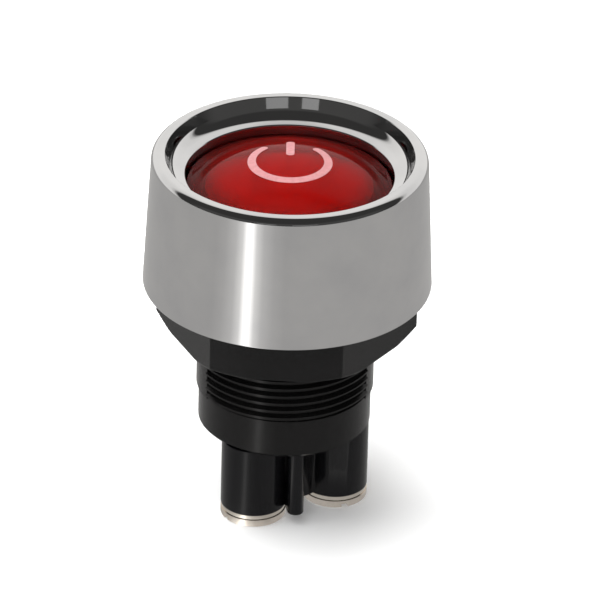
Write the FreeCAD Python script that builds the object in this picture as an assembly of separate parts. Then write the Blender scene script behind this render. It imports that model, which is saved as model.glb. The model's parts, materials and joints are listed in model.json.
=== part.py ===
"""Illuminated round push button for a 22 mm panel hole, standing on its terminal screws.

Frame: millimetres, +Z up along the button's axis, origin at the centre of the face
that seats on the panel. Azimuth 0 points along -Y, and grows towards +X.
"""
import FreeCAD
import Part
import math
import os

from FreeCAD import Vector

# ---- driving dimensions ----------------------------------------------------------

# bezel cap
BEZEL_BASE_R = 17.5          # outer radius at the panel
BEZEL_SHOULDER_R = 16.7      # outer radius where the rim's round starts
BEZEL_SHOULDER_Z = 16.1
RIM_ROUND = 1.0              # quarter round from the side up to the rim's crest
CREST_START_R = 15.04        # inner edge of the rim's flat crest
BOWL_R = 1.9                 # section radius of the hollow inside the rim
BOWL_START_R = 13.2          # where the hollow leaves the ledge round the hole
LEDGE_SLOPE = 9.0            # degrees, down towards the hole
BOWL_END_SLOPE = 70.0        # degrees, where the hollow meets the rim's lip
HOLE_R = 12.55
HOLE_EDGE_Z = 14.5
HOLE_TUBE_WALL = 0.85
HOLE_TUBE_END_Z = 11.5
BEZEL_WALL = 0.9
BEZEL_ROOF_Z = 13.4          # underside of the bezel's top
BEZEL_EDGE_BREAK = 0.12

# body shell: flange, guide cup and threaded barrel
FLANGE_R = 16.45
FLANGE_T = 2.0
CUP_R = 13.9
CUP_BORE_R = 12.7
CUP_TOP_Z = 11.4
BARREL_R = 10.5
BARREL_BORE_R = 8.9
BARREL_END_Z = -18.9
BARREL_END_CHAMFER = 0.4
WEB_T = 1.6                  # floor between the guide cup and the contact chamber
WEB_TOP_Z = 0.0
WEB_BURY = 0.3               # how far the floor reaches into the barrel wall

# 22 mm moulded thread, with a smooth land on each side of the barrel
THREAD_CREST_R = 11.0
THREAD_ROOT_R = 10.45
THREAD_PITCH = 1.0
THREAD_CREST_W = 0.2
THREAD_FLANK_ANGLE = 30.0
THREAD_BURY = 0.08           # how far the ridge and the lands reach into the barrel
THREAD_TOP_Z = -0.6
THREAD_END_Z = -13.9
LAND_R = 10.8
LAND_SPAN = 53.0             # degrees of azimuth that a land covers
LAND_AZIMUTHS = (-87.0, 93.0)

# mounting nut and its washer
NUT_ACROSS_CORNERS = 31.8
NUT_CORNER_AZIMUTH = 25.6
NUT_TOP_Z = -0.9
NUT_BOTTOM_Z = -6.3
NUT_MINOR_R = 10.84
NUT_MAJOR_R = 11.05
NUT_THREAD_PLAY = 0.06       # axial play on each flank
NUT_CHAMFER_R = 14.2         # radius at which the chamfer cone meets the lower face
NUT_CHAMFER_ANGLE = 30.0
NUT_WASHER_BORE_R = 11.15
NUT_WASHER_R = 15.0
NUT_WASHER_T = 0.8
NUT_WASHER_TOP_Z = -0.05

# panel gasket, let into the flange
GASKET_R = 15.5
GASKET_BORE_R = 11.8
GASKET_T = 0.65
GASKET_FACE_Z = 0.05
GASKET_PLAY = 0.1

# button: lens, legend, diffuser, carrier
LENS_R = 12.4
LENS_APEX_Z = 16.5
LENS_DOME_R = 24.0
LENS_T = 1.6
LENS_SKIRT_T = 1.3
LENS_END_Z = 9.6
LENS_EDGE_ROUND = 0.35
LEGEND_GAP = 0.02
LEGEND_T = 0.05
LEGEND_RING_R = 4.6
LEGEND_LINE_W = 1.0
LEGEND_RING_OPENING = 76.0   # degrees left open at the ring's top
LEGEND_BAR_LENGTH = 4.6
LEGEND_BAR_OUTER = 5.5
DIFFUSER_R = 9.9
DIFFUSER_T = 0.9
DIFFUSER_TOP_Z = 12.4
CARRIER_R = 12.35
CARRIER_SHELF_T = 2.2
CARRIER_WALL_R = 9.9
CARRIER_WALL_BORE_R = 8.9
CARRIER_HUB_R = 4.2
CARRIER_FLOOR_Z = 7.2
CARRIER_SPOKE_W = 2.6
CARRIER_SPOKES = 3
CARRIER_SEAT_T = 1.2         # ring that the return spring pushes on
CARRIER_SEAT_HALF_W = 1.0

# plunger, its clip and the springs
PLUNGER_R = 3.0
PLUNGER_BORE_PLAY = 0.08
PLUNGER_TOP_Z = 9.3
PLUNGER_SHOULDER_Z = -6.0
PLUNGER_TIP_R = 1.5
PLUNGER_TIP_Z = -12.0
CLIP_T = 0.6
CLIP_R = 4.3
CLIP_GROOVE_R = 2.5
CLIP_TOP_Z = -1.75
CLIP_MOUTH = 80.0            # degrees of azimuth left open
RETURN_SPRING_R = 5.4        # mean coil radius
RETURN_WIRE_R = 0.35
RETURN_TURNS = 5
OVERTRAVEL_SPRING_R = 2.3
OVERTRAVEL_WIRE_R = 0.22
OVERTRAVEL_TURNS = 5
SPRING_SEAT_GAP = 0.02
SPRING_END_PITCH = 1.1       # pitch of the closed end turns, in wire diameters
SPRING_STEPS = 24            # points that guide one turn

# contact bridge
BRIDGE_R = 7.6
BRIDGE_T = 0.8
BRIDGE_TOP_Z = -9.95
BRIDGE_BORE_PLAY = 0.08
CONTACT_RHO = 6.2
CONTACT_R = 1.15
CONTACT_T = 0.6
BRIDGE_CLIP_R = 2.7
BRIDGE_CLIP_TOP_Z = -10.85
BRIDGE_CLIP_GROOVE_R = 1.15
FIXED_CONTACT_T = 1.0

# lamp board
BOARD_R = 12.4
BOARD_BORE_R = 6.8
BOARD_T = 1.0
LED_SIZE = (3.0, 2.2, 1.1)
LED_RHO = 9.4
LED_AZIMUTHS = (0.0, 90.0, 180.0, 270.0)
RESISTOR_SIZE = (2.0, 1.25, 0.6)
RESISTOR_AZIMUTHS = (45.0, 225.0)
LEAD_R = 0.35
LEAD_RHO = 8.35
LEAD_HOLE_PLAY = 0.1
LEAD_STAND = 0.4             # how far a lead stands above the board

# terminals
POST_AZIMUTHS = (-33.0, 87.0, 207.0)
POST_RHO = 6.4
POST_R = 4.0
POST_END_Z = -27.9
HUB_R = 5.1                  # core that joins the posts
BASE_R = 8.85
BASE_TOP_Z = -15.4
RIB_AZIMUTH = 12.0
RIB_RHO = 8.1
RIB_R = 1.0
STUD_R = 3.0
STUD_NECK_R = 1.7
STUD_COLLAR_R = 2.3
STUD_COLLAR_T = 1.0
STUD_BORE_R = 2.0
STUD_BORE_DEPTH = 6.6
STUD_ROOF_T = 1.0            # base material over a stud
TERMINAL_WASHER_R = 3.9
TERMINAL_WASHER_T = 0.6
TERMINAL_WASHER_BORE_R = 2.1
SCREW_R = 1.95
SCREW_LENGTH = 6.0
SCREW_HEAD_R = 4.0
SCREW_HEAD_T = 1.0
SCREW_HEAD_ROUND = 0.35
SCREW_SLOT_W = 0.9
SCREW_SLOT_DEPTH = 0.6
SCREW_SLOT_AZIMUTHS = (-57.0, 20.0, 80.0)
SCREW_CROSS_LENGTH = 4.2

# ---- derived dimensions ----------------------------------------------------------

RIM_CENTRE_R = BEZEL_SHOULDER_R - RIM_ROUND
RIM_CREST_Z = BEZEL_SHOULDER_Z + RIM_ROUND
BOWL_START_Z = HOLE_EDGE_Z + (BOWL_START_R - HOLE_R) * math.tan(math.radians(LEDGE_SLOPE))
BOWL_CENTRE_R = BOWL_START_R - BOWL_R * math.sin(math.radians(LEDGE_SLOPE))
BOWL_CENTRE_Z = BOWL_START_Z + BOWL_R * math.cos(math.radians(LEDGE_SLOPE))
BEZEL_TAPER = (BEZEL_BASE_R - BEZEL_SHOULDER_R) / BEZEL_SHOULDER_Z
WEB_BOTTOM_Z = WEB_TOP_Z - WEB_T
LENS_CENTRE_Z = LENS_APEX_Z - LENS_DOME_R
BRIDGE_BOTTOM_Z = BRIDGE_TOP_Z - BRIDGE_T
STUD_TOP_Z = BASE_TOP_Z + STUD_COLLAR_T
HEAD_TOP_Z = POST_END_Z - TERMINAL_WASHER_T
HEAD_BOTTOM_Z = HEAD_TOP_Z - SCREW_HEAD_T
STUD_BODY_TOP_Z = BARREL_END_Z - STUD_ROOF_T
FLANK_SLOPE = math.tan(math.radians(THREAD_FLANK_ANGLE))
LEAD_AZIMUTHS = (POST_AZIMUTHS[0], POST_AZIMUTHS[2])
PAST = 1.0                   # how far a cutting shape reaches past what it cuts
JOIN = 0.5                   # how far a piece reaches into the one it is fused to


# ---- helpers ---------------------------------------------------------------------

def at(azimuth, rho, z=0.0):
    """A point at an azimuth in degrees and a distance from the axis."""
    a = math.radians(azimuth)
    return Vector(rho * math.sin(a), -rho * math.cos(a), z)


def cylinder(radius, z_low, z_high, centre=Vector(0, 0, 0)):
    base = Vector(centre.x, centre.y, z_low)
    return Part.makeCylinder(radius, z_high - z_low, base)


def ring(radius, bore, z_low, z_high, centre=Vector(0, 0, 0)):
    bore_cut = cylinder(bore, z_low - PAST, z_high + PAST, centre)
    return cylinder(radius, z_low, z_high, centre).cut(bore_cut)


def box(size_x, size_y, z_low, z_high, azimuth=0.0, rho=0.0):
    """A box with its centre at an azimuth and distance, and its Y side along the radius."""
    corner = Vector(-size_x / 2, -rho - size_y / 2, z_low)
    solid = Part.makeBox(size_x, size_y, z_high - z_low, corner)
    solid.rotate(Vector(0, 0, 0), Vector(0, 0, 1), azimuth)
    return solid


def line(start, end):
    return Part.LineSegment(Vector(start[0], 0, start[1]), Vector(end[0], 0, end[1])).toShape()


def arc(start, middle, end):
    points = [Vector(p[0], 0, p[1]) for p in (start, middle, end)]
    return Part.Arc(*points).toShape()


def revolved(edges):
    """A solid of revolution about Z from a closed outline of edges in the XZ plane."""
    face = Part.Face(Part.Wire(edges))
    return face.revolve(Vector(0, 0, 0), Vector(0, 0, 1), 360)


def polygon_edges(points):
    closed = list(points) + [points[0]]
    return [line(a, b) for a, b in zip(closed[:-1], closed[1:])]


def on_circle(centre, radius, angle):
    """A point of a section circle, with the angle in degrees from straight down, outwards."""
    a = math.radians(angle)
    return (centre[0] + radius * math.sin(a), centre[1] - radius * math.cos(a))


def dome(radius, apex_z):
    """The ball whose top is at apex_z."""
    return Part.makeSphere(radius, Vector(0, 0, apex_z - radius))


def sector(radius, z_low, z_high, azimuth, span):
    """A pie slice about the axis, centred on an azimuth."""
    solid = Part.makeCylinder(radius, z_high - z_low, Vector(0, 0, z_low), Vector(0, 0, 1), span)
    solid.rotate(Vector(0, 0, 0), Vector(0, 0, 1), azimuth - 90 - span / 2)
    return solid


def helical_ridge(outline, pitch, z_low, z_high):
    """Sweep a closed outline of (radius, height) points along a right-handed helix."""
    helix = Part.makeHelix(pitch, z_high - z_low, outline[0][0])
    corners = [Vector(r, 0, h) for r, h in outline]
    section = Part.makePolygon(corners + [corners[0]])
    solid = Part.Wire(helix).makePipeShell([section], True, True)
    solid.translate(Vector(0, 0, z_low))
    return solid


def coil(mean_radius, wire_radius, z_low, z_high, turns):
    """A round-wire compression spring between two seats, with one closed turn at each end."""
    rise = z_high - z_low - 2 * wire_radius
    end_pitch = SPRING_END_PITCH * 2 * wire_radius
    middle_pitch = (rise - 2 * end_pitch) / (turns - 2)
    height = z_low + wire_radius
    points = [Vector(mean_radius, 0, height)]
    for step in range(1, turns * SPRING_STEPS + 1):
        closed = step <= SPRING_STEPS or step > (turns - 1) * SPRING_STEPS
        height += (end_pitch if closed else middle_pitch) / SPRING_STEPS
        turn = 2 * math.pi * step / SPRING_STEPS
        points.append(Vector(mean_radius * math.cos(turn), mean_radius * math.sin(turn), height))
    curve = Part.BSplineCurve()
    curve.interpolate(points)
    start = curve.tangent(curve.FirstParameter)[0]
    section = Part.Wire(Part.makeCircle(wire_radius, points[0], start))
    return Part.Wire(curve.toShape()).makePipeShell([section], True, True)


def retaining_clip(radius, groove_radius, z_top, mouth_azimuth):
    """An open ring that snaps into a groove of the plunger."""
    disc = ring(radius, groove_radius, z_top - CLIP_T, z_top)
    mouth = sector(radius + PAST, z_top - CLIP_T - PAST, z_top + PAST, mouth_azimuth, CLIP_MOUTH)
    return disc.cut(mouth)


# ---- sub-parts -------------------------------------------------------------------

def bezel_cap():
    bowl = (BOWL_CENTRE_R, BOWL_CENTRE_Z)
    rim = (RIM_CENTRE_R, BEZEL_SHOULDER_Z)
    hole_edge = (HOLE_R, HOLE_EDGE_Z)
    ledge_end = (BOWL_START_R, BOWL_START_Z)
    bowl_middle = on_circle(bowl, BOWL_R, (LEDGE_SLOPE + BOWL_END_SLOPE) / 2)
    lip = on_circle(bowl, BOWL_R, BOWL_END_SLOPE)
    crest_start = (CREST_START_R, RIM_CREST_Z)
    crest = (RIM_CENTRE_R, RIM_CREST_Z)
    rim_middle = on_circle(rim, RIM_ROUND, 135)
    shoulder = (BEZEL_SHOULDER_R, BEZEL_SHOULDER_Z)
    base_out = (BEZEL_BASE_R, BEZEL_EDGE_BREAK)
    base_low = (BEZEL_BASE_R - BEZEL_EDGE_BREAK, 0)
    skirt_in = (BEZEL_BASE_R - BEZEL_WALL, 0)
    roof_out = (BEZEL_BASE_R - BEZEL_WALL - BEZEL_TAPER * BEZEL_ROOF_Z, BEZEL_ROOF_Z)
    tube_out = HOLE_R + HOLE_TUBE_WALL
    roof_in = (tube_out, BEZEL_ROOF_Z)
    tube_low_out = (tube_out, HOLE_TUBE_END_Z)
    tube_low_in = (HOLE_R, HOLE_TUBE_END_Z)
    edges = [
        line(hole_edge, ledge_end),
        arc(ledge_end, bowl_middle, lip),
        line(lip, crest_start),
        line(crest_start, crest),
        arc(crest, rim_middle, shoulder),
        line(shoulder, base_out),
        line(base_out, base_low),
        line(base_low, skirt_in),
        line(skirt_in, roof_out),
        line(roof_out, roof_in),
        line(roof_in, tube_low_out),
        line(tube_low_out, tube_low_in),
        line(tube_low_in, hole_edge),
    ]
    return revolved(edges)


def thread_outline(radius_low, radius_high, play):
    """Half-open V outline that widens towards the axis, with extra width for play."""
    high = THREAD_CREST_W / 2 + (THREAD_CREST_R - radius_high) * FLANK_SLOPE + play
    low = THREAD_CREST_W / 2 + (THREAD_CREST_R - radius_low) * FLANK_SLOPE + play
    return [(radius_low, -low), (radius_high, -high), (radius_high, high), (radius_low, low)]


def shell_thread():
    """The barrel's ridge, trimmed to chamfered ends and cut back at the two lands."""
    outline = thread_outline(THREAD_ROOT_R - THREAD_BURY, THREAD_CREST_R, 0)
    ridge = helical_ridge(outline, THREAD_PITCH, THREAD_END_Z - THREAD_PITCH, THREAD_TOP_Z)
    inner = THREAD_ROOT_R - 2 * THREAD_BURY
    outer = THREAD_CREST_R + PAST
    envelope = revolved(polygon_edges([
        (inner, THREAD_END_Z),
        (THREAD_ROOT_R, THREAD_END_Z),
        (outer, THREAD_END_Z + outer - THREAD_ROOT_R),
        (outer, THREAD_TOP_Z),
        (inner, THREAD_TOP_Z),
    ]))
    ridge = ridge.common(envelope)
    for azimuth in LAND_AZIMUTHS:
        low = THREAD_END_Z - PAST
        high = THREAD_TOP_Z + PAST
        ridge = ridge.cut(sector(outer, low, high, azimuth, LAND_SPAN))
    return ridge


def body_shell():
    barrel = revolved(polygon_edges([
        (BARREL_BORE_R, BARREL_END_Z),
        (BARREL_R - BARREL_END_CHAMFER, BARREL_END_Z),
        (BARREL_R, BARREL_END_Z + BARREL_END_CHAMFER),
        (BARREL_R, THREAD_END_Z),
        (THREAD_ROOT_R, THREAD_END_Z),
        (THREAD_ROOT_R, 0),
        (FLANGE_R, 0),
        (FLANGE_R, FLANGE_T),
        (CUP_R, FLANGE_T),
        (CUP_R, CUP_TOP_Z),
        (CUP_BORE_R, CUP_TOP_Z),
        (CUP_BORE_R, FLANGE_T),
        (BARREL_BORE_R, FLANGE_T),
    ]))
    shell = barrel.fuse(shell_thread())
    for azimuth in LAND_AZIMUTHS:
        land = sector(LAND_R, THREAD_END_Z, THREAD_TOP_Z, azimuth, LAND_SPAN)
        core = cylinder(THREAD_ROOT_R - THREAD_BURY, THREAD_END_Z - PAST, THREAD_TOP_Z + PAST)
        shell = shell.fuse(land.cut(core))
    shell = shell.fuse(cylinder(BARREL_BORE_R + WEB_BURY, WEB_BOTTOM_Z, WEB_TOP_Z))
    holes = [(PLUNGER_R + PLUNGER_BORE_PLAY, at(0, 0))]
    holes += [(LEAD_R + LEAD_HOLE_PLAY, at(a, LEAD_RHO)) for a in LEAD_AZIMUTHS]
    for radius, centre in holes:
        shell = shell.cut(cylinder(radius, WEB_BOTTOM_Z - PAST, WEB_TOP_Z + PAST, centre))
    recess_top = GASKET_FACE_Z + GASKET_T
    recess = ring(GASKET_R + GASKET_PLAY, GASKET_BORE_R - GASKET_PLAY, -PAST, recess_top)
    return shell.cut(recess)


def panel_gasket():
    return ring(GASKET_R, GASKET_BORE_R, GASKET_FACE_Z, GASKET_FACE_Z + GASKET_T)


def nut_washer():
    return ring(NUT_WASHER_R, NUT_WASHER_BORE_R, NUT_WASHER_TOP_Z - NUT_WASHER_T, NUT_WASHER_TOP_Z)


def mounting_nut():
    corner_r = NUT_ACROSS_CORNERS / 2
    corners = [at(NUT_CORNER_AZIMUTH + 60 * i, corner_r, NUT_BOTTOM_Z) for i in range(7)]
    hexagon = Part.Face(Part.makePolygon(corners))
    nut = hexagon.extrude(Vector(0, 0, NUT_TOP_Z - NUT_BOTTOM_Z))
    outer = corner_r + PAST
    drop = (outer - NUT_CHAMFER_R) * math.tan(math.radians(NUT_CHAMFER_ANGLE))
    envelope = revolved(polygon_edges([
        (0, NUT_BOTTOM_Z),
        (NUT_CHAMFER_R, NUT_BOTTOM_Z),
        (outer, NUT_BOTTOM_Z + drop),
        (outer, NUT_TOP_Z),
        (0, NUT_TOP_Z),
    ]))
    nut = nut.common(envelope)
    nut = nut.cut(cylinder(NUT_MINOR_R, NUT_BOTTOM_Z - PAST, NUT_TOP_Z + PAST))
    outline = thread_outline(NUT_MINOR_R - THREAD_BURY, NUT_MAJOR_R, NUT_THREAD_PLAY)
    groove = helical_ridge(outline, THREAD_PITCH, THREAD_END_Z - THREAD_PITCH, THREAD_TOP_Z)
    inner = NUT_MINOR_R - 2 * THREAD_BURY
    return nut.cut(groove.common(ring(corner_r, inner, NUT_BOTTOM_Z, NUT_TOP_Z)))


def button_lens():
    outer = cylinder(LENS_R, LENS_END_Z, LENS_APEX_Z + PAST)
    outer = outer.common(dome(LENS_DOME_R, LENS_APEX_Z))
    circles = [e for e in outer.Edges if len(e.Vertexes) == 1]
    rim_edges = [e for e in circles if e.BoundBox.ZMin > LENS_END_Z + PAST]
    outer = outer.makeFillet(LENS_EDGE_ROUND, rim_edges)
    inner = cylinder(LENS_R - LENS_SKIRT_T, LENS_END_Z - PAST, LENS_APEX_Z)
    return outer.cut(inner.common(dome(LENS_DOME_R - LENS_T, LENS_APEX_Z - LENS_T)))


def legend_print():
    """A generic standby symbol, printed on the lens: an open ring and a bar."""
    low = LENS_APEX_Z - 2 * PAST
    high = LENS_APEX_Z + PAST
    half_line = LEGEND_LINE_W / 2
    mark = ring(LEGEND_RING_R + half_line, LEGEND_RING_R - half_line, low, high)
    mark = mark.cut(sector(LENS_R, low - PAST, high + PAST, 180, LEGEND_RING_OPENING))
    bar_middle = LEGEND_BAR_OUTER - LEGEND_BAR_LENGTH / 2
    mark = mark.fuse(box(LEGEND_LINE_W, LEGEND_BAR_LENGTH, low, high, 180, bar_middle))
    bottom = LENS_DOME_R + LEGEND_GAP
    skin = Part.makeSphere(bottom + LEGEND_T, Vector(0, 0, LENS_CENTRE_Z))
    return mark.common(skin.cut(Part.makeSphere(bottom, Vector(0, 0, LENS_CENTRE_Z))))


def diffuser_disc():
    return cylinder(DIFFUSER_R, DIFFUSER_TOP_Z - DIFFUSER_T, DIFFUSER_TOP_Z)


def button_carrier():
    floor = CARRIER_FLOOR_Z
    shelf_top = floor + CARRIER_SHELF_T
    carrier = ring(CARRIER_R, CARRIER_WALL_BORE_R, floor, shelf_top)
    wall = ring(CARRIER_WALL_R, CARRIER_WALL_BORE_R, floor, DIFFUSER_TOP_Z - DIFFUSER_T)
    hub = cylinder(CARRIER_HUB_R, floor, shelf_top)
    seat_out = RETURN_SPRING_R + CARRIER_SEAT_HALF_W
    seat_in = RETURN_SPRING_R - CARRIER_SEAT_HALF_W
    seat = ring(seat_out, seat_in, floor, floor + CARRIER_SEAT_T)
    for piece in (wall, hub, seat):
        carrier = carrier.fuse(piece)
    reach = CARRIER_WALL_BORE_R + JOIN
    for i in range(CARRIER_SPOKES):
        azimuth = 360 / CARRIER_SPOKES * i
        spoke = box(CARRIER_SPOKE_W, reach, floor, shelf_top, azimuth, reach / 2)
        carrier = carrier.fuse(spoke)
    return carrier.cut(cylinder(PLUNGER_R, floor - PAST, PLUNGER_TOP_Z + PAST))


def plunger():
    stem = cylinder(PLUNGER_R, PLUNGER_SHOULDER_Z, PLUNGER_TOP_Z)
    stem = stem.fuse(cylinder(PLUNGER_TIP_R, PLUNGER_TIP_Z, PLUNGER_SHOULDER_Z + JOIN))
    stem = stem.cut(ring(PLUNGER_R + PAST, CLIP_GROOVE_R, CLIP_TOP_Z - CLIP_T, CLIP_TOP_Z))
    clip_low = BRIDGE_CLIP_TOP_Z - CLIP_T
    groove_out = PLUNGER_TIP_R + PAST
    return stem.cut(ring(groove_out, BRIDGE_CLIP_GROOVE_R, clip_low, BRIDGE_CLIP_TOP_Z))


def plunger_clip():
    return retaining_clip(CLIP_R, CLIP_GROOVE_R, CLIP_TOP_Z, 90)


def bridge_clip():
    return retaining_clip(BRIDGE_CLIP_R, BRIDGE_CLIP_GROOVE_R, BRIDGE_CLIP_TOP_Z, 270)


def return_spring():
    low = WEB_TOP_Z + SPRING_SEAT_GAP
    high = CARRIER_FLOOR_Z - SPRING_SEAT_GAP
    return coil(RETURN_SPRING_R, RETURN_WIRE_R, low, high, RETURN_TURNS)


def overtravel_spring():
    low = BRIDGE_TOP_Z + SPRING_SEAT_GAP
    high = PLUNGER_SHOULDER_Z - SPRING_SEAT_GAP
    return coil(OVERTRAVEL_SPRING_R, OVERTRAVEL_WIRE_R, low, high, OVERTRAVEL_TURNS)


def contact_bridge():
    return ring(BRIDGE_R, PLUNGER_TIP_R + BRIDGE_BORE_PLAY, BRIDGE_BOTTOM_Z, BRIDGE_TOP_Z)


def contact_pair(z_low, z_high):
    places = [at(azimuth, CONTACT_RHO) for azimuth in POST_AZIMUTHS[:2]]
    return Part.makeCompound([cylinder(CONTACT_R, z_low, z_high, place) for place in places])


def bridge_contacts():
    return contact_pair(BRIDGE_BOTTOM_Z - CONTACT_T, BRIDGE_BOTTOM_Z)


def fixed_contacts():
    return contact_pair(STUD_TOP_Z, STUD_TOP_Z + FIXED_CONTACT_T)


def led_board():
    top = FLANGE_T + BOARD_T
    board = ring(BOARD_R, BOARD_BORE_R, FLANGE_T, top)
    for azimuth in LEAD_AZIMUTHS:
        board = board.cut(cylinder(LEAD_R, FLANGE_T - PAST, top + PAST, at(azimuth, LEAD_RHO)))
    return board


def board_parts(size, azimuths):
    low = FLANGE_T + BOARD_T
    blocks = [box(size[0], size[1], low, low + size[2], a, LED_RHO) for a in azimuths]
    return Part.makeCompound(blocks)


def led_lead(azimuth):
    return cylinder(LEAD_R, STUD_TOP_Z, FLANGE_T + BOARD_T + LEAD_STAND, at(azimuth, LEAD_RHO))


def terminal_base():
    base = cylinder(BASE_R, BARREL_END_Z, BASE_TOP_Z)
    base = base.fuse(cylinder(HUB_R, POST_END_Z, BARREL_END_Z + JOIN))
    for azimuth in POST_AZIMUTHS:
        base = base.fuse(cylinder(POST_R, POST_END_Z, BARREL_END_Z, at(azimuth, POST_RHO)))
    base = base.fuse(cylinder(RIB_R, POST_END_Z, BARREL_END_Z, at(RIB_AZIMUTH, RIB_RHO)))
    rib_web = box(2 * RIB_R, RIB_RHO, POST_END_Z, BARREL_END_Z, RIB_AZIMUTH, RIB_RHO / 2)
    base = base.fuse(rib_web)
    for azimuth in POST_AZIMUTHS:
        centre = at(azimuth, POST_RHO)
        base = base.cut(cylinder(STUD_R, POST_END_Z - PAST, STUD_BODY_TOP_Z, centre))
        base = base.cut(cylinder(STUD_NECK_R, STUD_BODY_TOP_Z - JOIN, BASE_TOP_Z + PAST, centre))
    return base.removeSplitter()


def terminal_stud(azimuth):
    centre = at(azimuth, POST_RHO)
    stud = cylinder(STUD_R, POST_END_Z, STUD_BODY_TOP_Z, centre)
    stud = stud.fuse(cylinder(STUD_NECK_R, STUD_BODY_TOP_Z - JOIN, BASE_TOP_Z + JOIN, centre))
    stud = stud.fuse(cylinder(STUD_COLLAR_R, BASE_TOP_Z, STUD_TOP_Z, centre))
    return stud.cut(cylinder(STUD_BORE_R, POST_END_Z - PAST, POST_END_Z + STUD_BORE_DEPTH, centre))


def terminal_washer(azimuth):
    centre = at(azimuth, POST_RHO)
    return ring(TERMINAL_WASHER_R, TERMINAL_WASHER_BORE_R, HEAD_TOP_Z, POST_END_Z, centre)


def terminal_screw(azimuth, slot_azimuth):
    """A combined slotted and cross-recessed screw, with its head down."""
    head = cylinder(SCREW_HEAD_R, HEAD_BOTTOM_Z, HEAD_TOP_Z)
    low_edges = [e for e in head.Edges if e.BoundBox.ZMax < HEAD_TOP_Z - SCREW_HEAD_T / 2]
    head = head.makeFillet(SCREW_HEAD_ROUND, low_edges)
    screw = head.fuse(cylinder(SCREW_R, HEAD_TOP_Z - JOIN / 2, HEAD_TOP_Z + SCREW_LENGTH))
    slot_top = HEAD_BOTTOM_Z + SCREW_SLOT_DEPTH
    for size_x, size_y in ((SCREW_SLOT_W, 3 * SCREW_HEAD_R), (SCREW_CROSS_LENGTH, SCREW_SLOT_W)):
        screw = screw.cut(box(size_x, size_y, HEAD_BOTTOM_Z - PAST, slot_top, slot_azimuth))
    screw.translate(at(azimuth, POST_RHO))
    return screw


def all_parts():
    parts = {
        "bezel_cap": bezel_cap(),
        "body_shell": body_shell(),
        "panel_gasket": panel_gasket(),
        "nut_washer": nut_washer(),
        "mounting_nut": mounting_nut(),
        "button_lens": button_lens(),
        "legend_print": legend_print(),
        "diffuser_disc": diffuser_disc(),
        "button_carrier": button_carrier(),
        "plunger": plunger(),
        "plunger_clip": plunger_clip(),
        "return_spring": return_spring(),
        "overtravel_spring": overtravel_spring(),
        "contact_bridge": contact_bridge(),
        "bridge_contacts": bridge_contacts(),
        "bridge_clip": bridge_clip(),
        "fixed_contacts": fixed_contacts(),
        "led_board": led_board(),
        "indicator_leds": board_parts(LED_SIZE, LED_AZIMUTHS),
        "led_resistors": board_parts(RESISTOR_SIZE, RESISTOR_AZIMUTHS),
        "led_lead_feed": led_lead(LEAD_AZIMUTHS[0]),
        "led_lead_ground": led_lead(LEAD_AZIMUTHS[1]),
        "terminal_base": terminal_base(),
    }
    for number, azimuth in enumerate(POST_AZIMUTHS, start=1):
        parts[f"terminal_stud_{number}"] = terminal_stud(azimuth)
        parts[f"terminal_washer_{number}"] = terminal_washer(azimuth)
        slot_azimuth = SCREW_SLOT_AZIMUTHS[number - 1]
        parts[f"terminal_screw_{number}"] = terminal_screw(azimuth, slot_azimuth)
    return parts


os.makedirs("parts", exist_ok=True)
for node, shape in all_parts().items():
    shape.exportStep(f"parts/{node}.step")
    bounds = shape.BoundBox
    print(f"{node}: {len(shape.Solids)} solid(s), valid {shape.isValid()}, volume {shape.Volume:.2f},"
          f" z {bounds.ZMin:.2f} to {bounds.ZMax:.2f}")
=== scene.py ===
"""Looks of an illuminated push button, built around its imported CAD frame.

+Z runs up the button's axis, with the origin in the plane of the panel seat. Azimuth 0
points along -Y and grows towards +X. Sizes of the object are in millimetres, and MM turns
them into metres. The camera, the floor and the lights are placed in metres.
"""
import json
import math

import bmesh
import bpy
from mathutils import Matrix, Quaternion, Vector


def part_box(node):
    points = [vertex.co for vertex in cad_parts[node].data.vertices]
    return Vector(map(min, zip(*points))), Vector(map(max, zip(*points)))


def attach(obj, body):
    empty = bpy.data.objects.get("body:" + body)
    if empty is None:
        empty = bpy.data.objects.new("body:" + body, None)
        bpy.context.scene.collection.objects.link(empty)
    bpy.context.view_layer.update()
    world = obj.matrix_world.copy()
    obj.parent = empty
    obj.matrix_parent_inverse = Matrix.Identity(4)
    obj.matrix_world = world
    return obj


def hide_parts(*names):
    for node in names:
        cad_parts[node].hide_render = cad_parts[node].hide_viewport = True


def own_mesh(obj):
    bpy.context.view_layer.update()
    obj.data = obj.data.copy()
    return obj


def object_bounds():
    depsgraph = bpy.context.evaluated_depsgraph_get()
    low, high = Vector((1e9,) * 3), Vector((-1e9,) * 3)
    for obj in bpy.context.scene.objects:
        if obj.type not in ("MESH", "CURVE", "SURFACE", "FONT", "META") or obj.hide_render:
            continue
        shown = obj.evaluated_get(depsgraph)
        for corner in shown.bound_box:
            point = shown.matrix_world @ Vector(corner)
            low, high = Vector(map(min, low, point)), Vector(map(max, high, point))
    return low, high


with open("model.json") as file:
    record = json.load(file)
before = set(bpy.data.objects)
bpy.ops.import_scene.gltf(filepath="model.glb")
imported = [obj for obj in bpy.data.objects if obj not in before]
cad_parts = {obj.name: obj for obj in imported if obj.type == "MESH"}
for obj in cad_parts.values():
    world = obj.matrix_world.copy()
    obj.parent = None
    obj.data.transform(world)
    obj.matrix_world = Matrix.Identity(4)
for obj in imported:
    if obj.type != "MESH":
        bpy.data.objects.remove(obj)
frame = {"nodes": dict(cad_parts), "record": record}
cad_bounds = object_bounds()

MM = 0.001
TURN = 2 * math.pi
QUARTER = math.pi / 2


# ---- sizes and names from the frame --------------------------------------------------

def measure(node):
    """A round CAD node's outer radius and its lowest and highest z, in millimetres."""
    low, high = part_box(node)
    return [round(value / MM, 2) for value in (high.x, low.z, high.z)]


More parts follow.
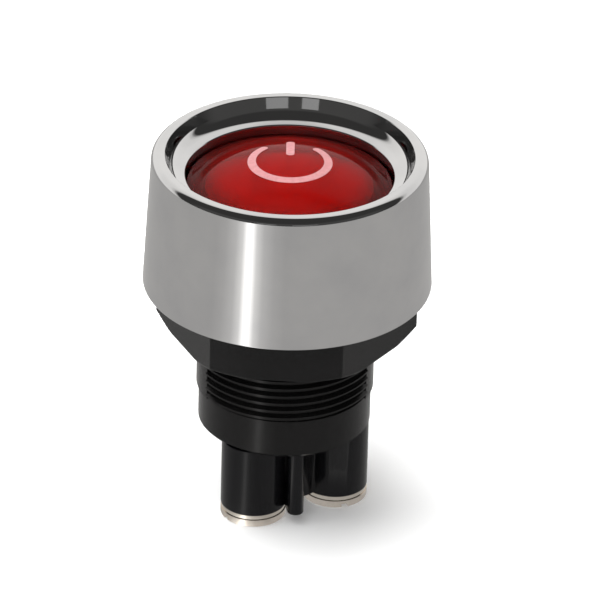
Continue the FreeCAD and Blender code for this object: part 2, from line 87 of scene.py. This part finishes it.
BEZEL_R, BEZEL_LOW, BEZEL_TOP = measure("bezel_cap")
LENS_R, LENS_LOW, LENS_APEX = measure("button_lens")
LEGEND_R = measure("legend_print")[0]
DIFFUSER_R = measure("diffuser_disc")[0]
FLOOR_Z = cad_bounds[0][2]   # in metres, as the floor is placed

NODES = frame["nodes"]
BEHAVIOUR = frame["record"]["behaviour"]
SLOT_OF = {part["node"]: part["material_slot"] for part in frame["record"]["subparts"]}
BODY_OF = {node: body for body, nodes in BEHAVIOUR["bodies"].items() for node in nodes}


# ---- camera ------------------------------------------------------------------------

CAMERA_ELEVATION = 29.2
CAMERA_DISTANCE = 0.848
CAMERA_ROLL = 1.45
CAMERA_LENS = 420
AIM = Vector((0.00161, 0.0, -0.0028))


def add_camera():
    data = bpy.data.cameras.new("camera")
    data.lens = CAMERA_LENS
    data.sensor_width = 36
    data.clip_start = 0.01
    data.clip_end = 20
    camera = bpy.data.objects.new("camera", data)
    bpy.context.scene.collection.objects.link(camera)
    e = math.radians(CAMERA_ELEVATION)
    back = Vector((0, -math.cos(e), math.sin(e)))
    camera.location = AIM + CAMERA_DISTANCE * back
    roll = Quaternion((0, 0, 1), math.radians(CAMERA_ROLL))
    camera.rotation_mode = "QUATERNION"
    camera.rotation_quaternion = (-back).to_track_quat("-Z", "Y") @ roll
    bpy.context.scene.camera = camera


# ---- node trees ----------------------------------------------------------------------

def grey(value):
    return (value, value, value)


class Tree:
    """A short way to build the node tree of a material or a world."""

    def __init__(self, owner):
        owner.use_nodes = True
        self.tree = owner.node_tree
        self.tree.nodes.clear()

    def add(self, kind, **values):
        """A node whose own settings and input sockets are both given by name."""
        node = self.tree.nodes.new(kind)
        for key, value in values.items():
            if hasattr(node, key):
                setattr(node, key, value)
            else:
                node.inputs[key.replace("_", " ")].default_value = value
        return node

    def link(self, a, b):
        self.tree.links.new(a, b)

    def compute(self, operation, *terms):
        """One arithmetic step, whose terms are sockets or numbers."""
        node = self.add("ShaderNodeMath", operation=operation)
        for socket, term in zip(node.inputs, terms):
            if isinstance(term, bpy.types.NodeSocket):
                self.link(term, socket)
            else:
                socket.default_value = term
        return node.outputs[0]

    def split(self, vector):
        node = self.add("ShaderNodeSeparateXYZ")
        self.link(vector, node.inputs[0])
        return node.outputs

    def ramp(self, factor, stops, interpolation="LINEAR"):
        """Colours that follow a factor, from (position, colour) stops."""
        node = self.add("ShaderNodeValToRGB")
        node.color_ramp.interpolation = interpolation
        elements = node.color_ramp.elements
        while len(elements) < len(stops):
            elements.new(0.5)
        for element, (position, colour) in zip(elements, stops):
            element.position = position
            element.color = (*colour, 1)
        self.link(factor, node.inputs["Fac"])
        return node.outputs["Color"]

    def spread(self, factor, low, high, start=0.3, end=0.7, interpolation="LINEAR"):
        """Map start..end of a factor to low..high."""
        node = self.add("ShaderNodeMapRange", interpolation_type=interpolation)
        for key, value in zip(("From Min", "From Max", "To Min", "To Max"),
                              (start, end, low, high)):
            node.inputs[key].default_value = value
        self.link(factor, node.inputs["Value"])
        return node.outputs["Result"]


class Finish(Tree):
    """A material around one Principled shader."""

    def __init__(self, name):
        self.material = bpy.data.materials.new(name)
        super().__init__(self.material)
        self.shader = self.add("ShaderNodeBsdfPrincipled")
        self.link(self.shader.outputs[0], self.add("ShaderNodeOutputMaterial").inputs[0])
        self.place = self.add("ShaderNodeTexCoord").outputs["Object"]

    def scaled(self, scale):
        """The object's own coordinates, stretched."""
        mapping = self.add("ShaderNodeMapping", Scale=scale)
        self.link(self.place, mapping.inputs["Vector"])
        return mapping.outputs[0]

    def noise(self, size_mm, detail, vector=None, rough=0.5, distort=0.0):
        """A noise field whose features are about size_mm across."""
        node = self.add("ShaderNodeTexNoise", Scale=1 / (size_mm * MM), Detail=detail,
                        Roughness=rough, Distortion=distort)
        self.link(vector or self.place, node.inputs["Vector"])
        return node.outputs["Fac"]

    def from_axis(self):
        """Distance from the object's vertical axis."""
        flat = self.add("ShaderNodeVectorMath", operation="MULTIPLY")
        flat.inputs[1].default_value = (1, 1, 0)
        self.link(self.place, flat.inputs[0])
        length = self.add("ShaderNodeVectorMath", operation="LENGTH")
        self.link(flat.outputs[0], length.inputs[0])
        return length.outputs["Value"]

    def colour(self, factor, stops):
        self.link(self.ramp(factor, stops), self.shader.inputs["Base Color"])

    def roughness(self, factor, low, high):
        self.link(self.spread(factor, low, high), self.shader.inputs["Roughness"])

    def bump(self, layers):
        """Stack bumps of (height field, depth in mm)."""
        normal = None
        for height, depth in layers:
            node = self.add("ShaderNodeBump", Strength=1.0, Distance=depth * MM)
            self.link(height, node.inputs["Height"])
            if normal:
                self.link(normal, node.inputs["Normal"])
            normal = node.outputs["Normal"]
        self.link(normal, self.shader.inputs["Normal"])

    def set(self, **values):
        """Values that are the same all over the surface."""
        for key, value in values.items():
            self.shader.inputs[key.replace("_", " ")].default_value = value


# ---- materials -----------------------------------------------------------------------

def plastic(name, dark, light, rough, grain, wave, coat=0.0, gloss=0.5):
    """Moulded plastic: fine grain (size, depth), slow waves and faint flow marks."""
    m = Finish(name)
    m.colour(m.noise(6, 4, m.scaled((1, 1, 0.25)), 0.6, 0.4), [(0.3, dark), (0.7, light)])
    m.roughness(m.noise(2.2, 4), rough * 0.85, rough * 1.2)
    grain_size, grain_depth = grain
    m.bump([(m.noise(5, 2), wave), (m.noise(grain_size, 3), grain_depth)])
    m.set(IOR=1.5, Specular_IOR_Level=gloss)
    if coat:
        m.set(Coat_Weight=coat, Coat_Roughness=0.08)
    return m.material


def metal(name, dark, light, rough, stretch, depth, wave=0.0):
    """Metal with drawn or turned marks along a stretch vector, and slight tarnish."""
    m = Finish(name)
    m.colour(m.noise(3.5, 4, rough=0.6), [(0.32, dark), (0.66, light)])
    marks = m.noise(0.5, 3, m.scaled(stretch), 0.7)
    m.roughness(marks, rough * 0.7, rough * 1.4)
    waves = [(m.noise(9, 1), wave)] if wave else []
    m.bump(waves + [(marks, depth)])
    m.set(Metallic=1.0)
    return m.material


def chrome():
    """Polished chrome plate over a smooth moulding."""
    m = Finish("chrome_plate")
    m.colour(m.noise(7, 3, rough=0.55), [(0.3, (0.60, 0.60, 0.605)), (0.7, (0.66, 0.658, 0.655))])
    m.roughness(m.noise(1.6, 5, m.scaled((1, 1, 0.2)), 0.65), 0.035, 0.075)
    m.bump([(m.noise(11, 1), 0.004), (m.noise(0.35, 2), 0.0002)])
    m.set(Metallic=1.0)
    return m.material


def lens_plastic():
    """Clear red moulding that tints what is behind it, with painted shade: darker and browner
    towards its edge, standing for the dark inside seen through it.
    """
    m = Finish("lens_red_clear")
    cloud = m.spread(m.noise(4, 3, rough=0.6), -0.03, 0.03)
    share = m.compute("ADD", m.spread(m.from_axis(), 0, 1, 0, LENS_R * MM), cloud)
    # painted shade: the red turns dark brown towards the rim, standing for the unlit inside
    # beyond the disc
    m.colour(share, [(0.0, (0.60, 0.020, 0.015)), (0.68, (0.55, 0.020, 0.015)),
                     (0.84, (0.34, 0.036, 0.030)), (1.0, (0.24, 0.034, 0.034))])
    m.roughness(m.noise(1.5, 4), 0.05, 0.09)
    m.bump([(m.noise(8, 1), 0.003), (m.noise(0.5, 2), 0.0003)])
    m.set(IOR=1.15, Transmission_Weight=0.88, Specular_IOR_Level=0.3)
    return m.material


def legend_ink():
    """Printed ink, slightly uneven."""
    m = Finish("legend_ink")
    m.colour(m.noise(0.5, 4, rough=0.7),
             [(0.3, (0.36, 0.150, 0.155)), (0.6, (0.46, 0.205, 0.21))])
    m.roughness(m.noise(0.6, 3), 0.4, 0.6)
    m.bump([(m.noise(0.12, 3), 0.006)])
    return m.material


def glow_plastic():
    """Milky ribbed disc behind the lens, with painted light and shade: paler towards its middle
    and darker towards its rim.
    """
    m = Finish("diffuser_milk")
    ridges = m.add("ShaderNodeTexWave", wave_type="RINGS", rings_direction="Z", Scale=260.0)
    m.link(m.place, ridges.inputs["Vector"])
    # painted light and shade: pale in the middle, darker towards the rim
    m.colour(m.spread(m.from_axis(), 0, 1, 0, DIFFUSER_R * MM),
             [(0.55, (0.62, 0.40, 0.36)), (0.98, (0.44, 0.24, 0.21))])
    m.roughness(m.noise(1.2, 3), 0.35, 0.55)
    m.bump([(ridges.outputs["Fac"], 0.02), (m.noise(0.4, 3), 0.003)])
    return m.material


def floor_paper():
    """Matt white paper with a faint tooth."""
    m = Finish("floor_paper")
    m.colour(m.noise(40, 3), [(0.3, grey(0.86)), (0.7, grey(0.875))])
    m.roughness(m.noise(6, 3), 0.85, 0.95)
    m.bump([(m.noise(0.8, 4), 0.01)])
    m.set(Specular_IOR_Level=0.1, Emission_Strength=0.15, Emission_Color=(1, 1, 1, 1))
    return m.material


def board_mask():
    """Green solder mask with copper tracks showing through it."""
    m = Finish("board_mask")
    tracks = m.add("ShaderNodeTexBrick", Scale=420.0, Mortar_Size=0.08, Brick_Width=1.4)
    m.link(m.place, tracks.inputs["Vector"])
    m.colour(tracks.outputs["Fac"], [(0.4, (0.012, 0.16, 0.05)), (0.6, (0.03, 0.3, 0.09))])
    m.roughness(m.noise(0.8, 3), 0.25, 0.4)
    m.bump([(tracks.outputs["Fac"], 0.02), (m.noise(0.3, 2), 0.003)])
    m.set(Coat_Weight=0.4, Coat_Roughness=0.15)
    return m.material


MATERIALS = {
    "chrome": chrome(),
    "body_black": plastic("body_black", grey(0.0040), (0.0068, 0.0066, 0.0065),
                          rough=0.16, grain=(0.25, 0.0010), wave=0.004, gloss=0.22),
    "base_black": plastic("base_black", (0.0036, 0.0036, 0.0042), (0.0060, 0.0060, 0.0070),
                          rough=0.15, grain=(0.22, 0.0010), wave=0.004, gloss=0.2),
    "nut_black": plastic("nut_black", grey(0.0040), grey(0.0064),
                         rough=0.18, grain=(0.3, 0.0008), wave=0.004, gloss=0.22),
    "gasket_rubber": plastic("gasket_rubber", grey(0.012), grey(0.022),
                             rough=0.75, grain=(0.2, 0.008), wave=0.01),
    "washer_fibre": plastic("washer_fibre", (0.018, 0.017, 0.016), (0.034, 0.032, 0.03),
                            rough=0.7, grain=(0.15, 0.01), wave=0.01),
    "lens_red": lens_plastic(),
    "legend_white": legend_ink(),
    "diffuser": glow_plastic(),
    "carrier_white": plastic("carrier_white", (0.13, 0.11, 0.10), (0.20, 0.17, 0.15),
                             rough=0.45, grain=(0.3, 0.003), wave=0.01),
    "nylon": plastic("nylon_natural", (0.62, 0.58, 0.48), (0.72, 0.68, 0.58),
                     rough=0.4, grain=(0.3, 0.003), wave=0.01),
    "spring_steel": metal("spring_steel", grey(0.34), grey(0.5),
                          rough=0.3, stretch=(1, 1, 6), depth=0.004),
    "brass": metal("brass_turned", (0.58, 0.40, 0.16), (0.74, 0.55, 0.26),
                   rough=0.22, stretch=(0.4, 0.4, 8), depth=0.004),
    "contact_silver": metal("contact_silver", (0.66, 0.65, 0.61), (0.82, 0.81, 0.78),
                            rough=0.3, stretch=(2, 2, 2), depth=0.004),
    "board_green": board_mask(),
    "led": plastic("led_resin", (0.80, 0.72, 0.34), (0.90, 0.86, 0.62),
                   rough=0.2, grain=(0.3, 0.002), wave=0.004, coat=0.6),
    "resistor_black": plastic("resistor_glaze", grey(0.02), grey(0.045),
                              rough=0.3, grain=(0.15, 0.004), wave=0.004),
    "lead_red": plastic("lead_red", (0.36, 0.015, 0.012), (0.46, 0.024, 0.02),
                        rough=0.4, grain=(0.15, 0.003), wave=0.01),
    "lead_black": plastic("lead_black", grey(0.012), grey(0.02),
                          rough=0.4, grain=(0.15, 0.003), wave=0.01),
    "washer_steel": metal("washer_nickel", (0.62, 0.57, 0.50), (0.74, 0.69, 0.62),
                          rough=0.14, stretch=(1, 1, 5), depth=0.003),
    "nickel_steel": metal("screw_nickel", (0.62, 0.56, 0.49), (0.76, 0.70, 0.63),
                          rough=0.10, stretch=(1, 1, 4), depth=0.002, wave=0.006),
}


def finish_as(piece, slot):
    piece.data.materials.clear()
    piece.data.materials.append(MATERIALS[slot])


def stand_for(piece, node):
    """Give a new piece the body, the finish and the place of the CAD node it replaces."""
    finish_as(piece, SLOT_OF[node])
    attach(piece, BODY_OF[node])
    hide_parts(node)


# ---- mesh helpers --------------------------------------------------------------------

ON_AXIS = 1e-6
ARC_STEPS = 8


def add_object(name, mesh):
    piece = bpy.data.objects.new(name, mesh)
    bpy.context.scene.collection.objects.link(piece)
    return piece


def add_solid(name, bm, sharp_angle):
    """Turn a bmesh into a smooth-shaded object, with edges past sharp_angle kept crisp."""
    mesh = bpy.data.meshes.new(name)
    bm.to_mesh(mesh)
    bm.free()
    mesh.polygons.foreach_set("use_smooth", [True] * len(mesh.polygons))
    mesh.set_sharp_from_angle(angle=math.radians(sharp_angle))
    mesh.update()
    return add_object(name, mesh)


def weigh_normals(piece):
    """Let large faces set the shading, so that flats beside small rounds stay flat."""
    modifier = piece.modifiers.new("weighted", "WEIGHTED_NORMAL")
    modifier.weight = 100
    modifier.keep_sharp = True


def around(azimuth, rho, z):
    """A point from an azimuth in radians."""
    return Vector((rho * math.sin(azimuth), -rho * math.cos(azimuth), z))


def rounded(outline, steps):
    """A closed outline of (r, z) or (r, z, round) points, with its corners rounded."""
    result = []
    for index, corner in enumerate(outline):
        here = Vector(corner[:2])
        if len(corner) < 3:
            result.append(tuple(here))
            continue
        radius = corner[2]
        before = Vector(outline[index - 1][:2]) - here
        after = Vector(outline[(index + 1) % len(outline)][:2]) - here
        half = before.angle(after) / 2
        start = here + before.normalized() * radius / math.tan(half)
        end = here + after.normalized() * radius / math.tan(half)
        inward = (before.normalized() + after.normalized()).normalized()
        middle = here + inward * radius / math.sin(half)
        first = math.atan2(start.y - middle.y, start.x - middle.x)
        last = math.atan2(end.y - middle.y, end.x - middle.x)
        turn = (last - first + math.pi) % TURN - math.pi
        for step in range(steps + 1):
            a = first + turn * step / steps
            result.append((middle.x + radius * math.cos(a), middle.y + radius * math.sin(a)))
    return result


def lathe(name, profile, columns, sharp_angle):
    """A solid of revolution, from a closed outline or from a line that ends on the axis."""
    bm = bmesh.new()
    rows = []
    for r, z in profile:
        if r < ON_AXIS:
            rows.append([bm.verts.new((0, 0, z * MM))] * columns)
        else:
            rows.append([bm.verts.new(around(TURN * j / columns, r, z) * MM)
                         for j in range(columns)])
    ends_on_axis = profile[0][0] < ON_AXIS
    following = rows[1:] if ends_on_axis else rows[1:] + rows[:1]
    for lower, upper in zip(rows, following):
        for j in range(columns):
            k = (j + 1) % columns
            corners = dict.fromkeys((lower[j], lower[k], upper[k], upper[j]))
            bm.faces.new(tuple(corners))
    bmesh.ops.recalc_face_normals(bm, faces=bm.faces)
    return add_solid(name, bm, sharp_angle)


# ---- bezel ---------------------------------------------------------------------------

MOUTH_R = LENS_R + 0.15      # opening that the lens moves in
MOUTH_Z = 14.47              # where the opening meets the hollow
COLLAR_R = 13.4              # collar that hangs down round the lens
COLLAR_LOW = 11.5
BOWL_START = (13.35, 14.65)  # where the ledge turns up into the hollow's wall
BOWL_R = 1.75
BOWL_SLOPES = (13, 70)       # of the ledge and of the wall's top, in degrees
BOWL_STEPS = 24
CREST_R = 15.04              # the rim's flat top, from here to its shoulder
SHOULDER_R = 16.65
SKIRT_R = 16.6               # inside of the outer wall, at its foot
ROOF_R = 15.92               # and under the roof
ROOF_Z = 13.4
BEZEL_COLUMNS = 384
BEZEL_ARC_STEPS = 10


def bowl_points():
    """The hollow inside the rim, an arc from the ledge up to the lip."""
    low, high = BOWL_SLOPES
    middle_r = BOWL_START[0] - BOWL_R * math.sin(math.radians(low))
    middle_z = BOWL_START[1] + BOWL_R * math.cos(math.radians(low))
    for step in range(BOWL_STEPS + 1):
        a = math.radians(low + (high - low) * step / BOWL_STEPS)
        yield (middle_r + BOWL_R * math.sin(a), middle_z - BOWL_R * math.cos(a))


def add_bezel():
    profile = rounded([
        (MOUTH_R, COLLAR_LOW, 0.15),
        (MOUTH_R, MOUTH_Z, 0.20),
        *bowl_points(),
        (CREST_R, BEZEL_TOP, 0.14),
        (SHOULDER_R, BEZEL_TOP, 0.95),
        (BEZEL_R, BEZEL_LOW, 0.2),
        (SKIRT_R, BEZEL_LOW, 0.1),
        (ROOF_R, ROOF_Z, 0.3),
        (COLLAR_R, ROOF_Z, 0.2),
        (COLLAR_R, COLLAR_LOW, 0.15),
    ], BEZEL_ARC_STEPS)
    piece = lathe("bezel_chrome", profile, BEZEL_COLUMNS, sharp_angle=60)
    weigh_normals(piece)
    stand_for(piece, "bezel_cap")


# ---- lens and legend -----------------------------------------------------------------

LENS_DOME_R = 24.0
LENS_T = 1.6
LENS_BORE_R = 11.1
LENS_ROUND = 0.35
LENS_CHAMFER = 0.15
LENS_COLUMNS = 192
LENS_OUTER_STEPS = 40
LENS_INNER_STEPS = 32

LEGEND_LIFT = 0.025          # the ink's underside above the lens
LEGEND_SKIN = 0.04           # the ink's thickness
LINE_HALF = 0.5
RING_R = LEGEND_R - LINE_HALF
RING_OPENING = 76            # degrees left open at the back of the ring
RING_STEPS = 96
BAR_FROM, BAR_TO = 1.4, 5.0
BAR_STEPS = 12
INK_COLUMNS = 6


def dome_z(r, radius, apex):
    """Height of a sphere's surface at a distance r from the axis."""
    return apex - radius + math.sqrt(radius * radius - r * r)


def add_lens():
    def dome_line(end_r, steps, radius, apex):
        return [(end_r * i / steps, dome_z(end_r * i / steps, radius, apex))
                for i in range(steps + 1)]
    rim_r = LENS_R - LENS_ROUND
    outer = dome_line(rim_r, LENS_OUTER_STEPS, LENS_DOME_R, LENS_APEX)
    tilt = math.asin(rim_r / LENS_DOME_R)
    rim_z = dome_z(rim_r, LENS_DOME_R, LENS_APEX) - LENS_ROUND * math.cos(tilt)
    rim = []
    for step in range(1, ARC_STEPS + 1):
        a = (QUARTER - tilt) * (1 - step / ARC_STEPS)
        rim.append((rim_r + LENS_ROUND * math.cos(a), rim_z + LENS_ROUND * math.sin(a)))
    foot = [(LENS_R, LENS_LOW + LENS_CHAMFER), (LENS_R - LENS_CHAMFER, LENS_LOW),
            (LENS_BORE_R + LENS_CHAMFER, LENS_LOW), (LENS_BORE_R, LENS_LOW + LENS_CHAMFER)]
    inner = dome_line(LENS_BORE_R, LENS_INNER_STEPS, LENS_DOME_R - LENS_T, LENS_APEX - LENS_T)
    profile = outer + rim + foot + inner[::-1]
    piece = lathe("lens_clear", profile, LENS_COLUMNS, sharp_angle=40)
    stand_for(piece, "button_lens")


def line_edges(line):
    """Left and right edge points of a flat line with round ends."""
    rows = []
    for before, here, after in zip(line[:1] + line, line, line[1:] + line[-1:]):
        along = (after - before).normalized()
        rows.append((here, along, Vector((-along.y, along.x))))

    def across(row, forward, a):
        middle, along, side = row
        middle = middle + along * (forward * LINE_HALF * math.sin(a))
        reach = side * LINE_HALF * math.cos(a)
        return middle + reach, middle - reach

    turns = [QUARTER * step / ARC_STEPS for step in range(1, ARC_STEPS + 1)]
    return ([across(rows[0], -1, a) for a in reversed(turns)]
            + [across(row, 0, 0) for row in rows]
            + [across(rows[-1], 1, a) for a in turns])


def on_dome(point, lift):
    """A flat point laid on the lens, lifted off its surface."""
    z = dome_z(point.length, LENS_DOME_R + lift, LENS_APEX + lift)
    return Vector((point.x, point.y, z)) * MM


def add_line(bm, line):
    """A thin skin of ink along a line."""
    under, over = (
        [[bm.verts.new(on_dome(left, lift).lerp(on_dome(right, lift), k / INK_COLUMNS))
          for k in range(INK_COLUMNS + 1)] for left, right in line_edges(line)]
        for lift in (LEGEND_LIFT, LEGEND_LIFT + LEGEND_SKIN))
    last = len(over) - 1
    for i in range(last):
        for k in range(INK_COLUMNS):
            bm.faces.new((over[i][k], over[i][k + 1], over[i + 1][k + 1], over[i + 1][k]))
            bm.faces.new((under[i][k], under[i + 1][k], under[i + 1][k + 1], under[i][k + 1]))
        for k in (0, INK_COLUMNS):
            bm.faces.new((under[i][k], over[i][k], over[i + 1][k], under[i + 1][k]))
    for i in (0, last):
        for k in range(INK_COLUMNS):
            bm.faces.new((under[i][k], under[i][k + 1], over[i][k + 1], over[i][k]))


def add_legend():
    """A standby mark: an open ring and a bar, both with round ends."""
    end = math.radians(180 - RING_OPENING / 2) - LINE_HALF / RING_R
    ring = [around(end * (2 * i / RING_STEPS - 1), RING_R, 0).xy for i in range(RING_STEPS + 1)]
    bar = [Vector((0, BAR_FROM + (BAR_TO - BAR_FROM) * i / BAR_STEPS))
           for i in range(BAR_STEPS + 1)]
    bm = bmesh.new()
    add_line(bm, ring)
    add_line(bm, bar)
    bmesh.ops.remove_doubles(bm, verts=bm.verts, dist=1e-7)
    bmesh.ops.recalc_face_normals(bm, faces=bm.faces)
    stand_for(add_solid("legend_mark", bm, sharp_angle=40), "legend_print")


# ---- moulded and machined pieces -----------------------------------------------------

WELD = 2e-6                  # metres between points that count as one
FLAT_ANGLE = 0.2             # degrees between faces that count as one
CORNER_ANGLE = 25            # degrees from which an edge is rounded
EDGE_SEGMENTS = 3
NUT_THREAD_R = 11.6          # the nut's ridges are inside this radius


def soften(node, width, keep_inside=0.0):
    """Stand in for a CAD piece with its outer edges rounded off.

    Edges nearer to the axis than keep_inside stay as they are.
    """
    source = NODES[node]
    bm = bmesh.new()
    bm.from_mesh(source.data)
    bm.transform(source.matrix_world)
    bmesh.ops.remove_doubles(bm, verts=bm.verts, dist=WELD)
    bmesh.ops.dissolve_limit(bm, angle_limit=math.radians(FLAT_ANGLE), verts=bm.verts,
                             edges=bm.edges)
    chosen = []
    for edge in bm.edges:
        if len(edge.link_faces) != 2 or not edge.is_convex:
            continue
        if edge.calc_face_angle() < math.radians(CORNER_ANGLE):
            continue
        middle = (edge.verts[0].co + edge.verts[1].co) / 2 / MM
        if middle.xy.length >= keep_inside:
            chosen.append(edge)
    bmesh.ops.bevel(bm, geom=chosen, offset=width * MM, segments=EDGE_SEGMENTS, profile=0.5,
                    affect="EDGES", clamp_overlap=True)
    piece = add_solid(node + "_soft", bm, sharp_angle=40)
    weigh_normals(piece)
    stand_for(piece, node)


def add_soft_pieces():
    soften("mounting_nut", 0.14, NUT_THREAD_R)
    soften("terminal_base", 0.12)
    soften("nut_washer", 0.08)
    soften("panel_gasket", 0.06)
    for i in (1, 2, 3):
        soften(f"terminal_washer_{i}", 0.04)
        soften(f"terminal_screw_{i}", 0.07)
        soften(f"terminal_stud_{i}", 0.05)
    for node, width in (("diffuser_disc", 0.1), ("button_carrier", 0.12), ("plunger", 0.1),
                        ("contact_bridge", 0.08), ("bridge_contacts", 0.12),
                        ("fixed_contacts", 0.12), ("led_board", 0.05),
                        ("indicator_leds", 0.18), ("led_resistors", 0.08),
                        ("plunger_clip", 0.06), ("bridge_clip", 0.06)):
        soften(node, width)


# ---- springs -------------------------------------------------------------------------

SPRING_TURNS = 5             # the first and the last of them are closed
SPRING_STEPS = 72            # along one turn
CLOSED_PITCH = 2.2           # of the closed turns, in wire radii
WIRE_SIDES = 20
WIRE_END_SIZE = 0.8          # the chamfered wire ends, as a share of its thickness


def coil_line(mean_r, wire_r, low, high):
    """Middle line of a compression spring whose end turns are closed."""
    end_pitch = CLOSED_PITCH * wire_r
    middle_pitch = (high - low - 2 * wire_r - 2 * end_pitch) / (SPRING_TURNS - 2)
    z = low + wire_r
    points = []
    for step in range(SPRING_TURNS * SPRING_STEPS + 1):
        a = TURN * step / SPRING_STEPS
        points.append(Vector((mean_r * math.cos(a), mean_r * math.sin(a), z)))
        closed = step < SPRING_STEPS or step >= (SPRING_TURNS - 1) * SPRING_STEPS
        z += (end_pitch if closed else middle_pitch) / SPRING_STEPS
    return points


def add_spring(node, wire_r):
    """A coil of round wire with closed end turns, standing in for the CAD spring."""
    outer_r, low, high = measure(node)
    points = coil_line(outer_r - wire_r, wire_r, low, high)
    last = len(points) - 1
    rows = [(0, WIRE_END_SIZE)] + [(i, 1.0) for i in range(last + 1)] + [(last, WIRE_END_SIZE)]
    bm = bmesh.new()
    rings = []
    for index, size in rows:
        middle = points[index]
        along = (points[min(index + 1, last)] - points[max(index - 1, 0)]).normalized()
        out = Vector((middle.x, middle.y, 0)).normalized()
        up = along.cross(out).normalized()
        turns = [TURN * k / WIRE_SIDES for k in range(WIRE_SIDES)]
        rings.append([bm.verts.new((middle + wire_r * size * (
            out * math.cos(a) + up * math.sin(a))) * MM) for a in turns])
    for first, second in zip(rings, rings[1:]):
        for k in range(WIRE_SIDES):
            n = (k + 1) % WIRE_SIDES
            bm.faces.new((first[k], first[n], second[n], second[k]))
    bm.faces.new(rings[0])
    bm.faces.new(rings[-1])
    bmesh.ops.recalc_face_normals(bm, faces=bm.faces)
    piece = add_solid(node + "_wire", bm, sharp_angle=50)
    stand_for(piece, node)
    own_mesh(piece)


def add_springs():
    add_spring("return_spring", wire_r=0.35)
    add_spring("overtravel_spring", wire_r=0.22)


# ---- studio --------------------------------------------------------------------------

FLOOR_HALF = 3.0
MIRROR_HALF = 1.2            # half the side of the sheet that polished surfaces see
MIRROR_LIFT = 0.00003        # and its height above the floor
FLOOR_GLOW = 0.49            # the brightness they see away from the strip
STREAK_AZIMUTH = -28.5       # direction of the bright strip
STREAK_REACH = 27.0          # degrees over which its glow fades out
STREAK_STOPS = [(0.0, 1.0), (0.07, 0.9), (0.20, 0.50), (0.40, 0.34), (0.7, 0.265), (1.0, 0.235)]
STREAK_TINT = (1.0, 0.985, 0.965)

BACKDROP_TILT = 0.517        # how much faster the backdrop's edge falls with height
BACKDROP_TINT = (1.05, 1.035, 1.015, 1)
ROOM_STOPS = [(0.02, 0.045), (0.06, 0.30), (0.11, 0.75), (0.20, 0.95), (0.60, 1.05)]
FRONT_GREY = 0.03            # glow low down in front of the object
FRONT_HEIGHTS = (0.42, 0.62)     # between which it fades with height
FRONT_DEPTHS = (-0.35, 0.0)      # and with the distance forward

WINDOW_DISTANCE = 1.0
WINDOW_ELEVATION = 13
WINDOW_HEIGHT = 0.09


def add_sheet(name, half, z, material):
    """A flat square that belongs to the studio."""
    mesh = bpy.data.meshes.new(name)
    corners = [(-half, -half, z), (half, -half, z), (half, half, z), (-half, half, z)]
    mesh.from_pydata(corners, [], [(0, 1, 2, 3)])
    piece = add_object(name, mesh)
    piece.data.materials.append(material)
    return piece


def add_floor():
    add_sheet("floor", FLOOR_HALF, FLOOR_Z, floor_paper())


def streak_material():
    """What polished surfaces see of the floor: even grey with one bright strip."""
    material = bpy.data.materials.new("reflected_floor")
    t = Tree(material)
    x, y, z = t.split(t.add("ShaderNodeTexCoord").outputs["Object"])
    azimuth = t.compute("ARCTAN2", x, t.compute("MULTIPLY", y, -1))
    away = t.compute("ABSOLUTE", t.compute("SUBTRACT", azimuth, math.radians(STREAK_AZIMUTH)))
    stops = [(position, tuple(value * tint for tint in STREAK_TINT))
             for position, value in STREAK_STOPS]
    colour = t.ramp(t.spread(away, 0, 1, 0, math.radians(STREAK_REACH)), stops)
    light = t.add("ShaderNodeEmission", Strength=FLOOR_GLOW / STREAK_STOPS[-1][1])
    t.link(colour, light.inputs["Color"])
    t.link(light.outputs[0], t.add("ShaderNodeOutputMaterial").inputs[0])
    return material


def add_reflected_floor():
    piece = add_sheet("reflected_floor", MIRROR_HALF, FLOOR_Z + MIRROR_LIFT, streak_material())
    piece.visible_camera = False
    piece.visible_diffuse = False
    piece.visible_shadow = False
    piece.visible_transmission = False


def add_world():
    """A pale backdrop behind the object, and a dim room in front of it and above."""
    world = bpy.data.worlds.new("studio")
    bpy.context.scene.world = world
    t = Tree(world)
    x, y, z = t.split(t.add("ShaderNodeTexCoord").outputs["Generated"])
    behind = t.compute("MULTIPLY_ADD", z, -BACKDROP_TILT, y)
    peak = ROOM_STOPS[-1][1]
    stops = [((position + 1) / 2, grey(value / peak)) for position, value in ROOM_STOPS]
    room = t.ramp(t.spread(behind, 0, 1, -1, 1), stops, "EASE")
    low = t.spread(z, FRONT_GREY, 0, *FRONT_HEIGHTS, "SMOOTHSTEP")
    front = t.spread(y, 1, 0, *FRONT_DEPTHS, "SMOOTHSTEP")
    back = t.add("ShaderNodeBackground", Color=BACKDROP_TINT)
    t.link(t.compute("ADD", room, t.compute("MULTIPLY", low, front)), back.inputs["Strength"])
    t.link(back.outputs[0], t.add("ShaderNodeOutputWorld").inputs[0])


def add_light(name, place, size, power, size_y=None, glossy=True):
    """A soft light aimed at the origin."""
    data = bpy.data.lights.new(name, "AREA")
    data.energy = power
    data.size = size
    if size_y:
        data.shape = "RECTANGLE"
        data.size_y = size_y
    light = bpy.data.objects.new(name, data)
    bpy.context.scene.collection.objects.link(light)
    light.location = place
    light.rotation_mode = "QUATERNION"
    light.rotation_quaternion = (-Vector(place)).to_track_quat("-Z", "Y")
    light.visible_glossy = glossy


def add_window(name, azimuth, width, power):
    """A low window whose reflection shows on the polished rim."""
    e = math.radians(WINDOW_ELEVATION)
    place = around(math.radians(azimuth), math.cos(e), math.sin(e)) * WINDOW_DISTANCE
    add_light(name, place, width, power, WINDOW_HEIGHT)


def add_lights():
    add_light("overhead", (-0.20, 0.05, 0.85), size=0.85, power=15.5, glossy=False)
    add_light("fill_front", (-0.1, -0.7, 0.55), size=0.6, power=3.0, glossy=False)
    add_window("window_right", azimuth=13, width=0.34, power=0.026)
    add_window("window_left", azimuth=-17, width=0.26, power=0.022)


bpy.context.scene.view_settings.view_transform = "Standard"
add_camera()
add_floor()
add_reflected_floor()
add_world()
add_lights()
for node, piece in NODES.items():
    finish_as(piece, SLOT_OF[node])
add_bezel()
add_lens()
add_legend()
add_soft_pieces()
add_springs()
